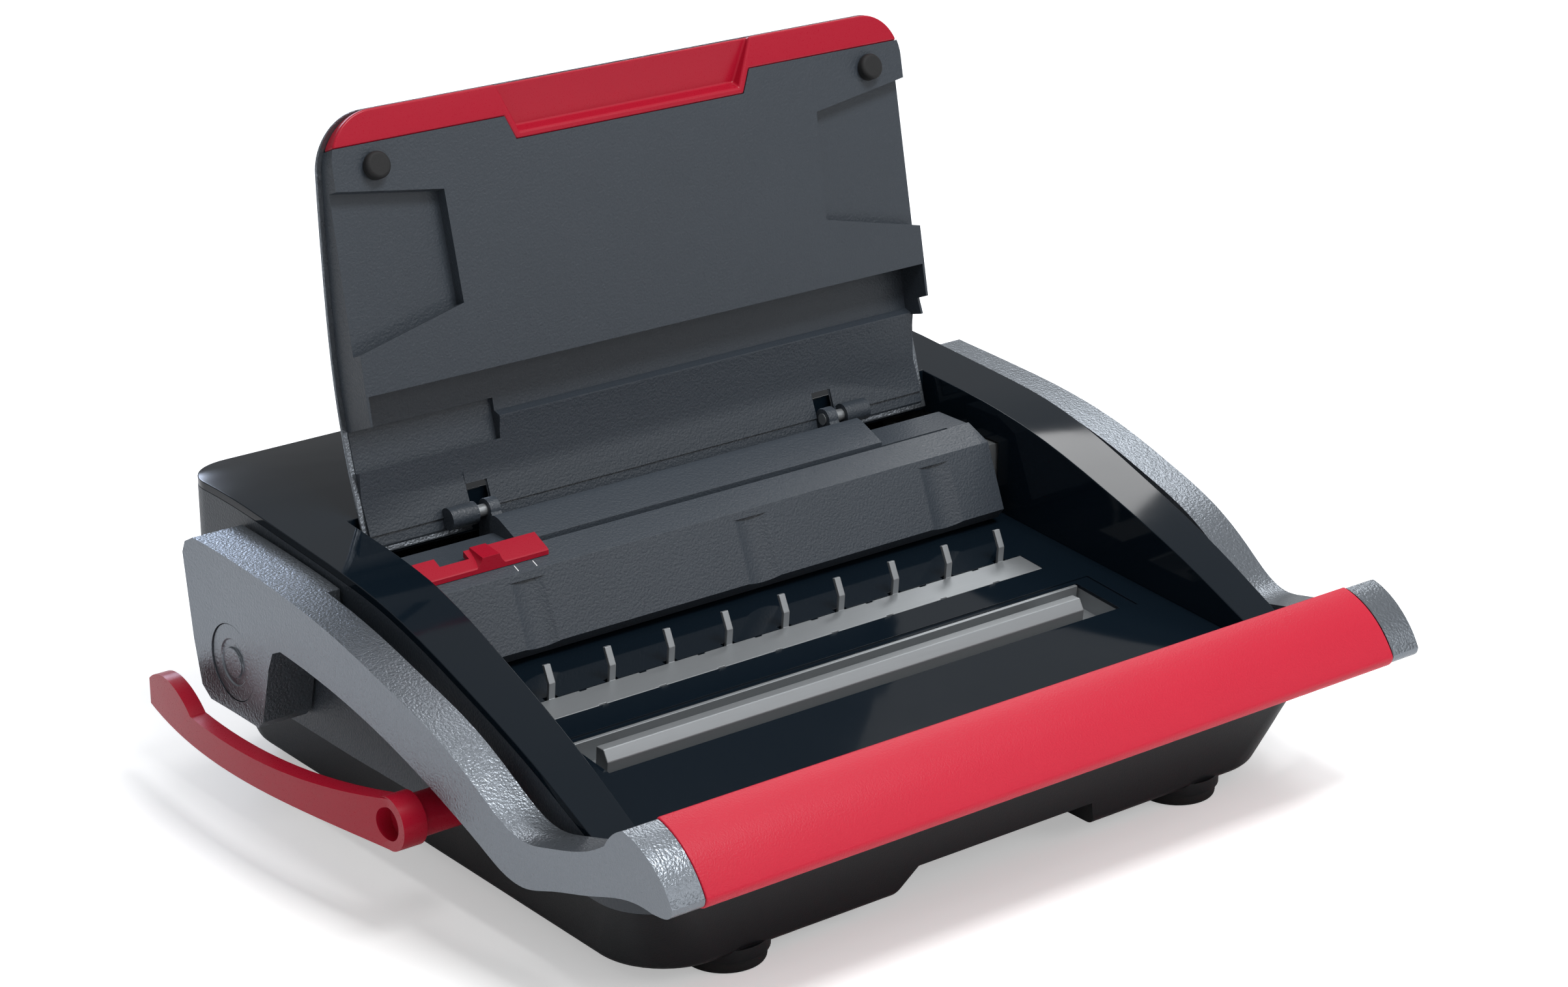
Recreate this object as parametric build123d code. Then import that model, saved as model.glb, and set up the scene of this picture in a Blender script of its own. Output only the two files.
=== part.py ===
from build123d import *
import math
import os

os.makedirs("parts", exist_ok=True)

# Every piece is drawn with x = 0 on the mid-plane, y = 0 on the line of the wire hooks and z = 0
# on the table. +X is to the right seen from the front, +Y to the rear, +Z up. Sizes are in
# millimetres. On export the pieces move together by origin_x, so that the frame's origin lies
# under the middle of the whole outline, the closer lever included.

# Width of the work: the punch cover between the cheeks, for sheets of 297 mm
cover_half = 165.0
bay_gap = 9.5
bay_widening = 7.5
cheek_rear_w = 31.5
cheek_front_w = 19.0
bay_half_rear = cover_half + bay_gap
bay_half_front = bay_half_rear + bay_widening
body_half_rear = bay_half_rear + cheek_rear_w
body_half_front = bay_half_front + cheek_front_w

# Feet and lower casing
foot_x = 135.5
foot_y = 129.0
foot_r = 19.0
foot_h = 6.0
boss_r = 20.5
base_z = 9.0
base_half = body_half_rear - 16.0
base_front = -147.0
base_rear = 201.0
base_corner = 38.0
base_edge_r = 6.0
wall = 3.0
parting_z = 46.0
flare = 10.0
body_corner = 25.0
cutout_left = -56.0
cutout_right = 66.0
cutout_flank = 13.0
cutout_h = 14.0
cutout_depth = 42.0

# Top cover: side view (arch) and plan
body_front = -158.0
body_rear = 210.0
front_corner = 30.0
cap_edge = 4.0
arch_rear_z = 142.0
arch_crown_z = 143.6
arch_hinge_z = 139.5
bay_flare_start = 38.0
bay_rear = 108.0

# Deck: a plate that falls towards the front
deck_z = 76.8
deck_tilt = 5.0
deck_t = 2.5
deck_gap = 0.5
deck_rear = 43.0

# Wire loops: 3:1 pitch, one hook to every fourth loop, 34 loops on an A4 sheet
loop_pitch = 25.4 / 3
loops = 34
hook_step = 4
hooks = 9
hook_w = 3.6
hook_t = 1.8
hook_rise = 7.8
hook_tip_rise = 15.6
hook_lean = 4.6
strip_half = 148.4
strip_depth = 16.7
strip_t = 1.2

# Closer channel, jaw and bar
channel_half = 152.6
channel_rear = -37.5
channel_front = -69.0
channel_depth = 12.0
channel_wall = 1.5
lip_half = 162.0
lip_margin = 2.6
lip_depth = 0.8
jaw_t = 2.0
bar_left = -149.0
bar_right = 135.0
bar_rear = -53.5
bar_top = 5.0
bar_top_depth = 5.5
bar_t = 9.0
bar_gap = 0.35

# Closer crankshaft and lever
closer_y = -30.0
closer_z = 57.4
closer_r = 4.0
closer_throw = 6.8
closer_swing = 95.0
closer_pin_r = 3.0
closer_crank_x = 125.0
web_t = 4.0
leg_t = 3.0
leg_gap = 2.5
slot_play = 0.6
lever_hub_r = 12.5
lever_barrel_r = 10.0
lever_barrel_len = 23.5
lever_hub_t = 12.0
lever_gap = 1.5
lever_hub_in = -body_half_rear - lever_gap - lever_barrel_len
lever_hub_out = lever_hub_in - lever_hub_t
lever_len = 198.0
lever_bow = 9.0
lever_t = 9.0
lever_inner_x = lever_hub_in - 6.5
hub_hole_r = 7.8
hub_hole_depth = 6.0

# Punch: die, guide, pins and ram
gap_front = 59.5
gap_rear = 62.5
die_t = 9.5
guide_t = 9.5
punch_z = 104.0
die_low = 92.0
die_high = 116.0
pin_r = 2.0
pin_play = 0.05
pin_front = 52.0
ram_front = 90.0
ram_t = 10.0
ram_h = 12.0
ram_half = cover_half - 3.0
fork_t = 4.0
stop_h = 3.0

# Handle: pivot, cross shaft and cranks
pivot_y = 118.0
pivot_z = 80.6
shaft_r = 6.0
bush_r = 9.0
run_gap = 0.05
crank_r = 20.0
crank_gap = 6.0
crank_x = ram_half + fork_t + crank_gap
crank_t = 5.0
crank_throw = 12.0
handle_swing = 75.0
throw_pin_r = 4.0
fork_play = 0.45

# Arms and grip
arm_gap = 1.5
arm_t = 19.0
arm_splay = 2.65
arm_bow = [(158, 0), (121, 0.2), (80, 2.0), (40, 3.7), (0, 4.8), (-40, 5.0), (-80, 4.4), (-120, 2.0), (-160, 0),
           (-210, 0)]
lobe_inner = body_half_rear + arm_gap
arm_out = lobe_inner + 19.9
shaft_half = lobe_inner + 13.5
fist_inner = body_half_front
notch_y = 62.0
cap_r = 18.9
cap_depth = 3.0
grip_wall_gap = 0.4
tube_r = 7.0
tube_y = -182.0
tube_z = 83.0
tube_seat = 9.0
tube_wall = 1.5

# Side frames
frame_x = bay_half_rear + 8.5
frame_t = 2.5
frame_rear = 150.0
frame_front = -62.0
frame_top = 118.0
frame_low = 52.0

# Punch cover
cover_t = 2.5
cover_low = (36.0, 82.5)
cover_nose = (31.5, 88.2)
cover_crease = (44.8, 120.6)
cover_back = (83.5, 136.5)
cover_round = [(78.5, 134.45), (82.3, 135.1), (85.0, 133.9), (86.3, 131.0)]
cover_foot_z = 112.0
slot_left = -cover_half - 3.0
slot_right = cover_half - 13.0
ear_x = cover_half - 55.0
ledge_y = 60.0
ledge_z = 126.0
scallop_r = 30.0
scallop_deep = 1.2
scallop_x = (-118.0, 12.0, 128.0)

# Edge guide
guide_left = -cover_half - 4.0
guide_right = guide_left + 68.0
guide_y0 = 50.5
guide_y1 = 62.0
guide_thick = 3.0
guide_ridge_x = guide_left + 36.0
guide_ridge_h = 4.2
guide_play = 0.35
guide_pocket_right = guide_right + 12.5

# Lid: drawn closed, then turned back about the hinge to its open rest
hinge_y = 97.0
hinge_z = 132.5
lid_open = 112.5
lid_gap = 4.5
lid_half = bay_half_rear - lid_gap
panel_half = lid_half - 3.0
lid_len = 198.8
lid_corner = 24.0
lid_tail = 4.0
ear_tail = 7.6
shell_t = 1.5
liner_t = 1.0
panel_inset = 0.8
face_angle = 11.24
face_drop = 11.8
lid_notch = 14.0
recess_near = 42.0
recess_far = 68.0
recess_d = 18.5
ridge_d = 14.2
recess_half = cover_half + 0.7
zone_step = 35.0
zone_end = (96.0, 135.65)
knuckle_r = 5.5
knuckle_len = 15.0
ear_out = panel_half
ear_inner = ear_x + 1.5
pocket_d = 6.5
hinge_pin_r = 3.0
bracket_t = 6.0
bracket_x = ear_x - bracket_t - 4.5
bracket_r = 5.5
bracket_pass_z = 126.5
bumper_x = lid_half - 25.0
bumper_r = 6.5
bumper_h = 5.0
bumper_t = 171.6
bumper_edge = 1.2
trim_t0 = 182.5
tongue_t0 = 171.0
tongue_half = 67.0
grip_recess_t0 = 173.5
grip_recess_half = 64.0
grip_recess_far = 76.0
grip_recess_d = 6.5

# Chip tray
tray_half = 148.0
tray_front = 22.0
tray_low = 13.0
tray_high = 39.0
tray_wall = 2.0
tray_gap = 0.6

# Fasteners
screw_x = 92.0
screw_y = 96.0
screw_head_r = 4.0
bolt_head_r = 3.5
bolt_head_t = 3.0

crank_rest = -handle_swing / 2
closer_rest = -closer_swing / 2
arm_rear = 157.5
reach_right = arm_out + arm_rear * math.tan(math.radians(arm_splay))
reach_left = -lever_inner_x + lever_bow + lever_t
origin_x = (reach_left - reach_right) / 2


def block(x0, x1, y0, y1, z0, z1):
    centre = ((x0 + x1) / 2, (y0 + y1) / 2, (z0 + z1) / 2)
    return Pos(*centre) * Box(x1 - x0, y1 - y0, z1 - z0)


def along_x(points, x0, x1):
    """A straight-edged outline of (y, z) points, run from x0 to x1."""
    face = Plane.YZ * make_face(Polyline(*points, close=True))
    return Pos(x0, 0, 0) * extrude(face, x1 - x0)


def along_y(points, y0, y1):
    """A straight-edged outline of (x, z) points, run from y0 to y1."""
    face = Plane.XZ * make_face(Polyline(*points, close=True))
    return Pos(0, y1, 0) * extrude(face, y1 - y0)


def along_z(points, z0, z1):
    """A straight-edged plan outline of (x, y) points, run from z0 to z1."""
    face = make_face(Polyline(*points, close=True))
    return Pos(0, 0, z0) * extrude(face, z1 - z0)


def rod_x(y, z, r, x0, x1):
    return Pos((x0 + x1) / 2, y, z) * Rot(0, 90, 0) * Cylinder(r, x1 - x0)


def rod_y(x, z, r, y0, y1):
    return Pos(x, (y0 + y1) / 2, z) * Rot(90, 0, 0) * Cylinder(r, y1 - y0)


def rod_z(x, y, r, z0, z1):
    return Pos(x, y, (z0 + z1) / 2) * Cylinder(r, z1 - z0)


def both(shape):
    """The piece and its mirror image on the other side, as one group."""
    return Compound(children=[*shape.solids(), *mirror(shape, Plane.YZ).solids()])


def group(shapes):
    return Compound(children=[s for shape in shapes for s in shape.solids()])


def save(shape, node):
    solids = [Pos(origin_x, 0, 0) * s for s in shape.solids()]
    export_step(solids[0] if len(solids) == 1 else Compound(children=solids), f"parts/{node}.step")


DECK = Pos(0, 0, deck_z) * Rot(deck_tilt, 0, 0)


def deck_height(y):
    return deck_z + y * math.tan(math.radians(deck_tilt))


# Side view of the cover's top edge, from the rear to the front
arch_points = [
    (body_rear + 2, arch_rear_z),
    (170, arch_crown_z),
    (hinge_y + 6, arch_hinge_z),
    (33, 132.0),
    (-30, 114.0),
    (-90, 91.5),
    (-130, 73.0),
    (body_front - 4, 60.0),
]


def under_arch(drop, low, x0, x1, y_from, y_to):
    """Everything below the arch, lowered by drop, between two stations along Y."""
    pts = [(y, z - drop) for y, z in arch_points]
    curve = Spline(*pts)
    sides = Polyline(pts[-1], (pts[-1][0], low), (pts[0][0], low), pts[0])
    face = Plane.YZ * make_face([*curve.edges(), *sides.edges()])
    return Pos(x0, 0, 0) * extrude(face, x1 - x0) & block(x0, x1, y_from, y_to, low - 1, 200)


def body_plan(inset, z0, z1):
    """The cover's plan: straight sides that widen to the rear, rounded corners."""
    f = body_half_front - inset
    r = body_half_rear - inset
    y0 = body_front + inset
    y1 = body_rear - inset
    face = make_face(Polyline((-f, y0), (f, y0), (r, 60), (r, y1), (-r, y1), (-r, 60), close=True))
    front = [v for v in face.vertices() if v.Y < y0 + 1]
    face = fillet(front, front_corner - inset)
    rear = [v for v in face.vertices() if v.Y > y1 - 1 and abs(v.X) > r - 1]
    face = fillet(rear, body_corner - inset)
    return Pos(0, 0, z0) * extrude(face, z1 - z0)


def bay_plan(out, z0, z1):
    """The work bay between the cheeks, wider towards the front."""
    a = bay_half_rear + out
    b = bay_half_front + out
    pts = [(-a, bay_rear + out), (-a, bay_flare_start), (-b, -180), (b, -180)]
    pts += [(a, bay_flare_start), (a, bay_rear + out)]
    return along_z(pts, z0, z1)


def base_tray():
    """The lower casing: a tub that flares upwards, with a finger cut-out at the front."""
    def tub(inset, z0, z1):
        rect_low = RectangleRounded(2 * (base_half - inset), base_rear - base_front - 2 * inset,
                                    base_corner - inset)
        rect_top = RectangleRounded(2 * (base_half + flare - inset),
                                    base_rear - base_front + 16 - 2 * inset, body_corner - inset)
        mid_low = (base_rear + base_front) / 2
        return loft([Pos(0, mid_low, z0) * rect_low, Pos(0, mid_low - 2, z1) * rect_top])

    outer = tub(0, base_z, parting_z)
    outer = fillet(outer.faces().sort_by(Axis.Z)[0].edges(), base_edge_r)
    inner = tub(wall, base_z + wall, parting_z)
    inner += block(-base_half + 8, base_half - 8, base_front + 8, base_rear - 8, parting_z - 1, parting_z + 1)

    def cut(grow, low):
        z1 = base_z + cutout_h + grow
        pts = [(cutout_left - grow, low), (cutout_left + cutout_flank - grow, z1)]
        pts += [(cutout_right - 5 + grow, z1), (cutout_right + grow, low)]
        return along_y(pts, base_front - 20, base_front + cutout_depth + grow)

    tray = outer - inner
    tray += cut(wall, base_z + 1) & inner
    tray -= cut(0, base_z - 1)
    for x in (-foot_x, foot_x):
        for y in (-foot_y, foot_y):
            tray += rod_z(x, y, boss_r, foot_h, base_z + wall)
    tray -= block(-tray_half - tray_gap, tray_half + tray_gap, base_rear - 12, base_rear + 20,
                  tray_low - tray_gap, tray_high + tray_gap)
    return tray


def feet():
    pads = []
    for x in (-foot_x, foot_x):
        for y in (-foot_y, foot_y):
            pad = rod_z(x, y, foot_r, 0, foot_h)
            pads.append(chamfer(pad.faces().sort_by(Axis.Z)[0].edges(), 1.0))
    return group(pads)


def housing_ring():
    """The wall of the upper body: everything within one wall of its outside."""
    ring = body_plan(0, parting_z, 170) - body_plan(wall, parting_z - 1, 171)
    return ring & under_arch(cap_edge, parting_z - 5, -230, 230, -200, 220)


def shaft_holes(shape):
    """Clearance holes for the cross shaft and the closer shaft in the body's sides."""
    for side in (-1, 1):
        x0, x1 = sorted((side * (bay_half_rear - 1), side * 215))
        shape -= rod_x(closer_y, closer_z, closer_r + 1, x0, x1)
        x0, x1 = sorted((side * 190, side * 215))
        shape -= rod_x(pivot_y, pivot_z, bush_r + 4, x0, x1)
    return shape


def body_housing():
    """Matte side and rear walls that stand on the tub and carry the glossy cover."""
    return shaft_holes(housing_ring() - bay_plan(0, parting_z - 2, 180))


def top_cover():
    """Glossy cheeks and domed rear as one moulding, open below and at the front."""
    outer = body_plan(0, parting_z, 170) & under_arch(0, parting_z - 5, -230, 230, -200, 220)
    inner = body_plan(wall, parting_z - 1, 170) & under_arch(wall, parting_z - 6, -230, 230, -200, 220)
    shell = outer - inner - housing_ring()
    walls = bay_plan(wall, parting_z, 170) & outer
    keep = block(-230, 230, -200, hinge_y - 10, parting_z - 1, 200)
    keep += block(-230, 230, hinge_y - 10, bay_rear + wall, frame_top, 200)
    cover = shell + ((walls & keep) - housing_ring()) - bay_plan(0, parting_z - 2, 180)
    # Windows behind the punch cover's ends, for the die
    for side in (-1, 1):
        x0, x1 = sorted((side * (bay_half_rear - 2), side * (bay_half_front + wall + 4)))
        cover -= block(x0, x1, gap_front - die_t - 2, hinge_y - 9, parting_z + 8, die_high + 1)
    return shaft_holes(cover)


def deck_panel():
    """The glossy plate over the closer, with a turned-down front edge."""
    a = bay_half_rear - deck_gap
    slope = (bay_half_front - bay_half_rear) / (bay_flare_start + 180)
    b = a + slope * (bay_flare_start - body_front)
    y0 = body_front - 4
    pts = [(-a, deck_rear), (-a, bay_flare_start), (-b, y0), (b, y0), (a, bay_flare_start), (a, deck_rear)]
    plate = DECK * along_z(pts, -deck_t, 0)
    apron = block(-b, b, body_front, body_front + wall, parting_z, deck_height(body_front) - 1)
    apron += block(-b, b, body_front + wall, body_front + 2 * wall, deck_height(body_front) - 5,
                   deck_height(body_front) - 1)
    panel = (plate + apron) & body_plan(0, parting_z - 1, 170)
    strip = block(-strip_half - 0.3, strip_half + 0.3, -strip_depth - 0.3, 0.3, -9, 9)
    panel -= DECK * strip
    for i in range(hooks):
        x = (i - (hooks - 1) / 2) * hook_step * loop_pitch
        panel -= DECK * block(x - hook_w, x + hook_w, -1, hook_t + 1.0, -9, 9)
    panel -= DECK * block(-lip_half, lip_half, channel_front - lip_margin, channel_rear + lip_margin,
                          -lip_depth, 9)
    panel -= DECK * block(-channel_half, channel_half, channel_front, channel_rear, -9, 9)
    return panel


def hook_plate():
    """Steel strip with nine bent hooks that hold the open loops of the wire."""
    plate = block(-strip_half, strip_half, -strip_depth, 0, -strip_t, 0)
    rail = block(-strip_half, strip_half, -strip_depth, hook_t, -strip_t - deck_t - 0.3, -strip_t - deck_t + 0.9)
    plate += rail
    plate += block(-strip_half, strip_half, -strip_depth, -strip_depth + 3, -strip_t - deck_t, -strip_t)
    path = [(0, -strip_t - 1), (hook_t, -strip_t - 1), (hook_t, hook_rise - 0.6),
            (hook_lean + hook_t, hook_tip_rise - 0.6), (hook_lean, hook_tip_rise), (0, hook_rise)]
    for i in range(hooks):
        x = (i - (hooks - 1) / 2) * hook_step * loop_pitch
        hook = along_x(path, x - hook_w / 2, x + hook_w / 2)
        root = block(x - hook_w / 2, x + hook_w / 2, 0, hook_t, -strip_t - deck_t, -strip_t - 0.5)
        plate += hook
        plate += root
    for i in range(hooks - 1):
        x = (i - (hooks - 2) / 2) * hook_step * loop_pitch
        plate -= block(x - 2, x + 2, -strip_depth - 1, -strip_depth + 0.9, -1, 1)
        plate -= block(x - 2, x + 2, -0.9, 1, -1, 1)
    return DECK * plate


def closer_channel():
    """The metal pan under the deck that the wire is closed in."""
    w = channel_wall
    low = -channel_depth - w
    pan = block(-channel_half - w, channel_half + w, channel_front - w, channel_rear + w, low, -deck_t)
    pan -= block(-channel_half, channel_half, channel_front, channel_rear, -channel_depth, 1)
    for x in (-closer_crank_x, closer_crank_x):
        pan -= block(x - leg_t / 2 - 1, x + leg_t / 2 + 1, bar_rear - bar_t - 0.5, channel_rear - 5, -30, 0)
    return DECK * pan


def closer_jaw():
    """The fixed jaw along the channel's rear wall."""
    return DECK * block(-channel_half + 1, channel_half - 1, channel_rear - jaw_t, channel_rear,
                        -channel_depth, -1)


def closer_bar():
    """The moving jaw: a long bar with a bevelled top, standing just over the deck."""
    low = -channel_depth + bar_gap
    front = bar_rear - bar_t
    pts = [(bar_rear, low), (front, low), (front, bar_top - 5), (bar_rear - bar_top_depth, bar_top)]
    pts += [(bar_rear, bar_top - 0.6)]
    return DECK * along_x(pts, bar_left, bar_right)


def closer_legs():
    """Two plates under the bar, each with an upright slot that a crank pin works in."""
    angle = math.radians(closer_rest)
    pin_y = closer_y + closer_throw * math.sin(angle)
    pin_hi = closer_z - closer_throw * math.cos(angle)
    pin_lo = closer_z - closer_throw
    slot_half = closer_pin_r + slot_play
    rim = 5.0
    z_top = pin_hi + closer_pin_r + 2.0
    z_low = pin_lo - closer_pin_r - 2.0
    legs = []
    y_bar = bar_rear - bar_t + 1
    top = deck_height(bar_rear - bar_t / 2) - channel_depth + bar_gap
    for x in (-closer_crank_x, closer_crank_x):
        x0 = x - leg_t / 2
        x1 = x + leg_t / 2
        plate = block(x0, x1, y_bar, pin_y + slot_half + rim, z_low - rim, z_top)
        plate += block(x0, x1, y_bar, y_bar + 7, z_top - 1, top + 2)
        cutter = DECK * block(x0 - 1, x1 + 1, -100, 0, -channel_depth + bar_gap, 20)
        plate -= cutter
        plate -= block(x0 - 1, x1 + 1, pin_y - slot_half, pin_y + slot_half, z_low, z_top + 1)
        legs.append(plate)
    return group(legs)


def closer_crankshaft():
    """One steel shaft across the machine, bent into a crank at each leg."""
    angle = math.radians(closer_rest)
    py = closer_y + closer_throw * math.sin(angle)
    pz = closer_z - closer_throw * math.cos(angle)
    half = leg_t / 2 + leg_gap

    def web(x0):
        slab = rod_x(closer_y, closer_z, closer_r + 1, x0, x0 + web_t)
        slab += rod_x(py, pz, closer_pin_r + 1.5, x0, x0 + web_t)
        return slab + rod_x((closer_y + py) / 2, (closer_z + pz) / 2, closer_pin_r + 1.5, x0, x0 + web_t)

    inner = closer_crank_x - half - web_t
    outer = closer_crank_x + half + web_t
    shaft = rod_x(closer_y, closer_z, closer_r, lever_hub_out + hub_hole_depth + 2, -outer)
    shaft += rod_x(closer_y, closer_z, closer_r, -inner, inner)
    shaft += rod_x(closer_y, closer_z, closer_r, outer, frame_x + frame_t + 1)
    for side in (-1, 1):
        x = side * closer_crank_x
        shaft += web(x - half - web_t)
        shaft += web(x + half)
        shaft += rod_x(py, pz, closer_pin_r, x - half, x + half)
    return shaft


def closer_bushes():
    """Flanged bushes that carry the closer shaft in the side frames."""
    rings = []
    for side in (-1, 1):
        x0, x1 = sorted((side * (frame_x - 1.5), side * (frame_x + frame_t)))
        f0, f1 = sorted((side * (frame_x - 1.5), side * frame_x))
        ring = rod_x(closer_y, closer_z, closer_r + 3, x0, x1) + rod_x(closer_y, closer_z, closer_r + 5, f0, f1)
        rings.append(ring - rod_x(closer_y, closer_z, closer_r + run_gap, x0 - 1, x1 + 1))
    return group(rings)


def closer_lever():
    """The red lever on the shaft's left end, pointing to the rear, bowed outwards."""
    hub = rod_x(0, 0, lever_hub_r, lever_hub_out, lever_hub_in)
    barrel = rod_x(0, 0, lever_barrel_r, lever_hub_in, -body_half_rear - lever_gap)
    # Plan of the blade: inner and outer faces both bow away from the body
    mid = lever_len * 0.5
    tip = lever_len
    inner = Spline((lever_hub_in - 3, 0), (lever_inner_x - lever_bow, mid), (lever_inner_x - 6, tip))
    outer = Spline((lever_inner_x - 6 - lever_t * 0.8, tip), (lever_inner_x - lever_bow - lever_t, mid),
                   (lever_hub_out, 0))
    join_a = Line(inner @ 1, outer @ 0)
    join_b = Line(outer @ 1, inner @ 0)
    plan = make_face([*inner.edges(), *outer.edges(), join_a, join_b])
    blade = Pos(0, 0, -40) * extrude(plan, 80)
    # Side view of the blade: deep at the hub, slim in the middle, a hooked finger tip
    top = Spline((0, 12), (40, 5), (100, 0), (152, 0.5))
    tip_top = Spline((152, 0.5), (160, 6), (172, 10), (tip, 3))
    low = Spline((tip, -10), (150, -14), (80, -13.5), (0, -12.4))
    end = Line(tip_top @ 1, low @ 0)
    back = Line(low @ 1, top @ 0)
    side = Plane.YZ * make_face([*top.edges(), *tip_top.edges(), end, *low.edges(), back])
    profile = Pos(-300, 0, 0) * extrude(side, 100)
    lever = (blade & profile) + hub + barrel
    lever -= rod_x(0, 0, hub_hole_r, lever_hub_out - 30, lever_hub_out + hub_hole_depth)
    lever = Pos(0, closer_y, closer_z) * lever
    return lever - rod_x(closer_y, closer_z, closer_r, lever_hub_out + hub_hole_depth + 2, 0)


def side_frame():
    """Right steel side plate; the left one is its mirror image."""
    pts = [(frame_front, base_z + wall), (frame_rear, base_z + wall), (frame_rear, frame_top)]
    pts += [(gap_front - die_t - 6, frame_top), (frame_front + 30, frame_low + 18), (frame_front, frame_low)]
    plate = along_x(pts, frame_x, frame_x + frame_t)
    plate -= rod_x(pivot_y, pivot_z, bush_r, 0, 300)
    plate -= rod_x(closer_y, closer_z, closer_r + 3, 0, 300)
    return plate


def loop_xs():
    return [(i - (loops - 1) / 2) * loop_pitch for i in range(loops)]


def die_block():
    block_ = block(-frame_x, frame_x, gap_front - die_t, gap_front, die_low, die_high)
    for x in loop_xs():
        block_ -= rod_y(x, punch_z, pin_r + pin_play, gap_front - die_t - 1, gap_front + 1)
    return block_


def pin_guide():
    guide = block(-frame_x, frame_x, gap_rear, gap_rear + guide_t, die_low, die_high)
    for x in loop_xs():
        guide -= rod_y(x, punch_z, pin_r + pin_play, gap_rear - 1, gap_rear + guide_t + 1)
    return guide


def depth_stop():
    """Steel strip at the bottom of the paper gap that the sheets stand on."""
    return block(-frame_x + 1, frame_x - 1, gap_front, gap_rear, die_low, die_low + stop_h)


def punch_pins():
    return group([rod_y(x, punch_z, pin_r, pin_front, ram_front) for x in loop_xs()])


def throw_pin():
    angle = math.radians(crank_rest)
    return pivot_y + crank_throw * math.sin(angle), pivot_z + crank_throw * math.cos(angle)


def punch_ram():
    """The bar behind the pins, with a downward fork at each end for a crank pin."""
    py, pz = throw_pin()
    ram = block(-ram_half, ram_half, ram_front, ram_front + ram_t, punch_z - ram_h / 2, punch_z + ram_h / 2)
    half = throw_pin_r + fork_play
    low = pivot_z + shaft_r + 1.2
    for side in (-1, 1):
        x0, x1 = sorted((side * (ram_half - 1), side * (ram_half + fork_t)))
        fork = block(x0, x1, ram_front, py + half + 5, low, punch_z + ram_h / 2)
        fork -= block(x0 - 1, x1 + 1, py - half, py + half, low - 1, pivot_z + crank_throw + throw_pin_r + 1)
        ram += fork
    return ram


def cross_shaft():
    return rod_x(pivot_y, pivot_z, shaft_r, -shaft_half, shaft_half)


def crank_discs():
    py, pz = throw_pin()
    disc = rod_x(pivot_y, pivot_z, crank_r, crank_x, crank_x + crank_t)
    disc += rod_x(py, pz, throw_pin_r, ram_half - 2, crank_x)
    disc -= rod_x(pivot_y, pivot_z, shaft_r, 0, 300)
    return both(disc)


def shaft_bushes():
    x0 = frame_x - 2
    ring = rod_x(pivot_y, pivot_z, bush_r, x0, frame_x + frame_t + 2)
    ring += rod_x(pivot_y, pivot_z, bush_r + 3, x0, frame_x)
    ring -= rod_x(pivot_y, pivot_z, shaft_r + run_gap, 0, 300)
    return both(ring)


def arm_profile():
    """Side view of an arm: rear lobe, arched beam, dip, and the fist that holds the grip."""
    top = Spline((121, 133.0), (87, 131.2), (46, 127.1), (13, 120.9), (-19, 112.3), (-54, 100.8),
                 (-81, 86.2), (-98, 76.5), (-109, 73.9), (-124, 76.3), (-149, 84.0), (-160, 90.5))
    fist = Spline((-160, 90.5), (-166, 98), (-171.5, 101.3))
    front = Spline((-171.5, 101.3), (-181, 98.6), (-191, 92.6), (-199, 84.6), (-203.5, 77.5))
    nose = Spline((-203.5, 77.5), (-202, 73.6), (-196, 71.4), (-190, 71.0))
    low = Spline((-190, 71.0), (-173, 70.6), (-149, 63.4), (-123.5, 56.2), (-108, 52.0), (-96, 53.6),
                 (-81, 60.8), (-64, 68.8), (-31, 81.6), (2, 91.2), (46, 98.6), (74, 100.8))
    rear = Polyline((74, 100.8), (81, 97.6), (85.5, 88), (93, 59), (97.5, 54.8), (140, 54.8), (147, 60),
                    (152, 82), (157.5, 124), (155, 130), (148, 133.8), (121, 133.0))
    edges = [*top.edges(), *fist.edges(), *front.edges(), *nose.edges(), *low.edges(), *rear.edges()]
    return Plane.YZ * make_face(edges)


def arm():
    """Right arm; the left one is its mirror image."""
    outer = [(arm_x(y) + out, y) for y, out in arm_bow]
    inner = [(x - arm_t, y) for x, y in reversed(outer)]
    edges = [Spline(*outer), Line(outer[-1], inner[0]), Spline(*inner), Line(inner[-1], outer[0])]
    beam = extrude(make_face([e for line in edges for e in line.edges()]), 200)
    lobe = block(lobe_inner, arm_x(notch_y) - 2, notch_y, 200, 0, 200)
    reach = block(lobe_inner, 300, notch_y - 60, 220, 0, 200) + block(180, 300, -260, notch_y - 60, 0, 200)
    piece = Pos(180, 0, 0) * extrude(arm_profile(), 80) & (beam + lobe) & reach
    piece -= block(0, fist_inner, -230, -160, 0, 200)
    piece -= rod_x(pivot_y, pivot_z, shaft_r, 0, shaft_half)
    piece -= rod_x(pivot_y, pivot_z, cap_r, arm_x(pivot_y) - cap_depth, 300)
    piece -= rod_x(tube_y, tube_z, tube_r, 0, fist_inner + tube_seat)
    return piece


def arm_x(y):
    return arm_out + y * math.tan(math.radians(arm_splay))


def pivot_caps():
    x1 = arm_x(pivot_y)
    cap = rod_x(pivot_y, pivot_z, cap_r - 0.2, x1 - cap_depth, x1)
    cap -= rod_x(pivot_y, pivot_z, 11.3, x1 - 0.8, x1 + 1)
    cap += rod_x(pivot_y, pivot_z, 7.3, x1 - 1, x1 + 0.4)
    return both(cap)


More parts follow.
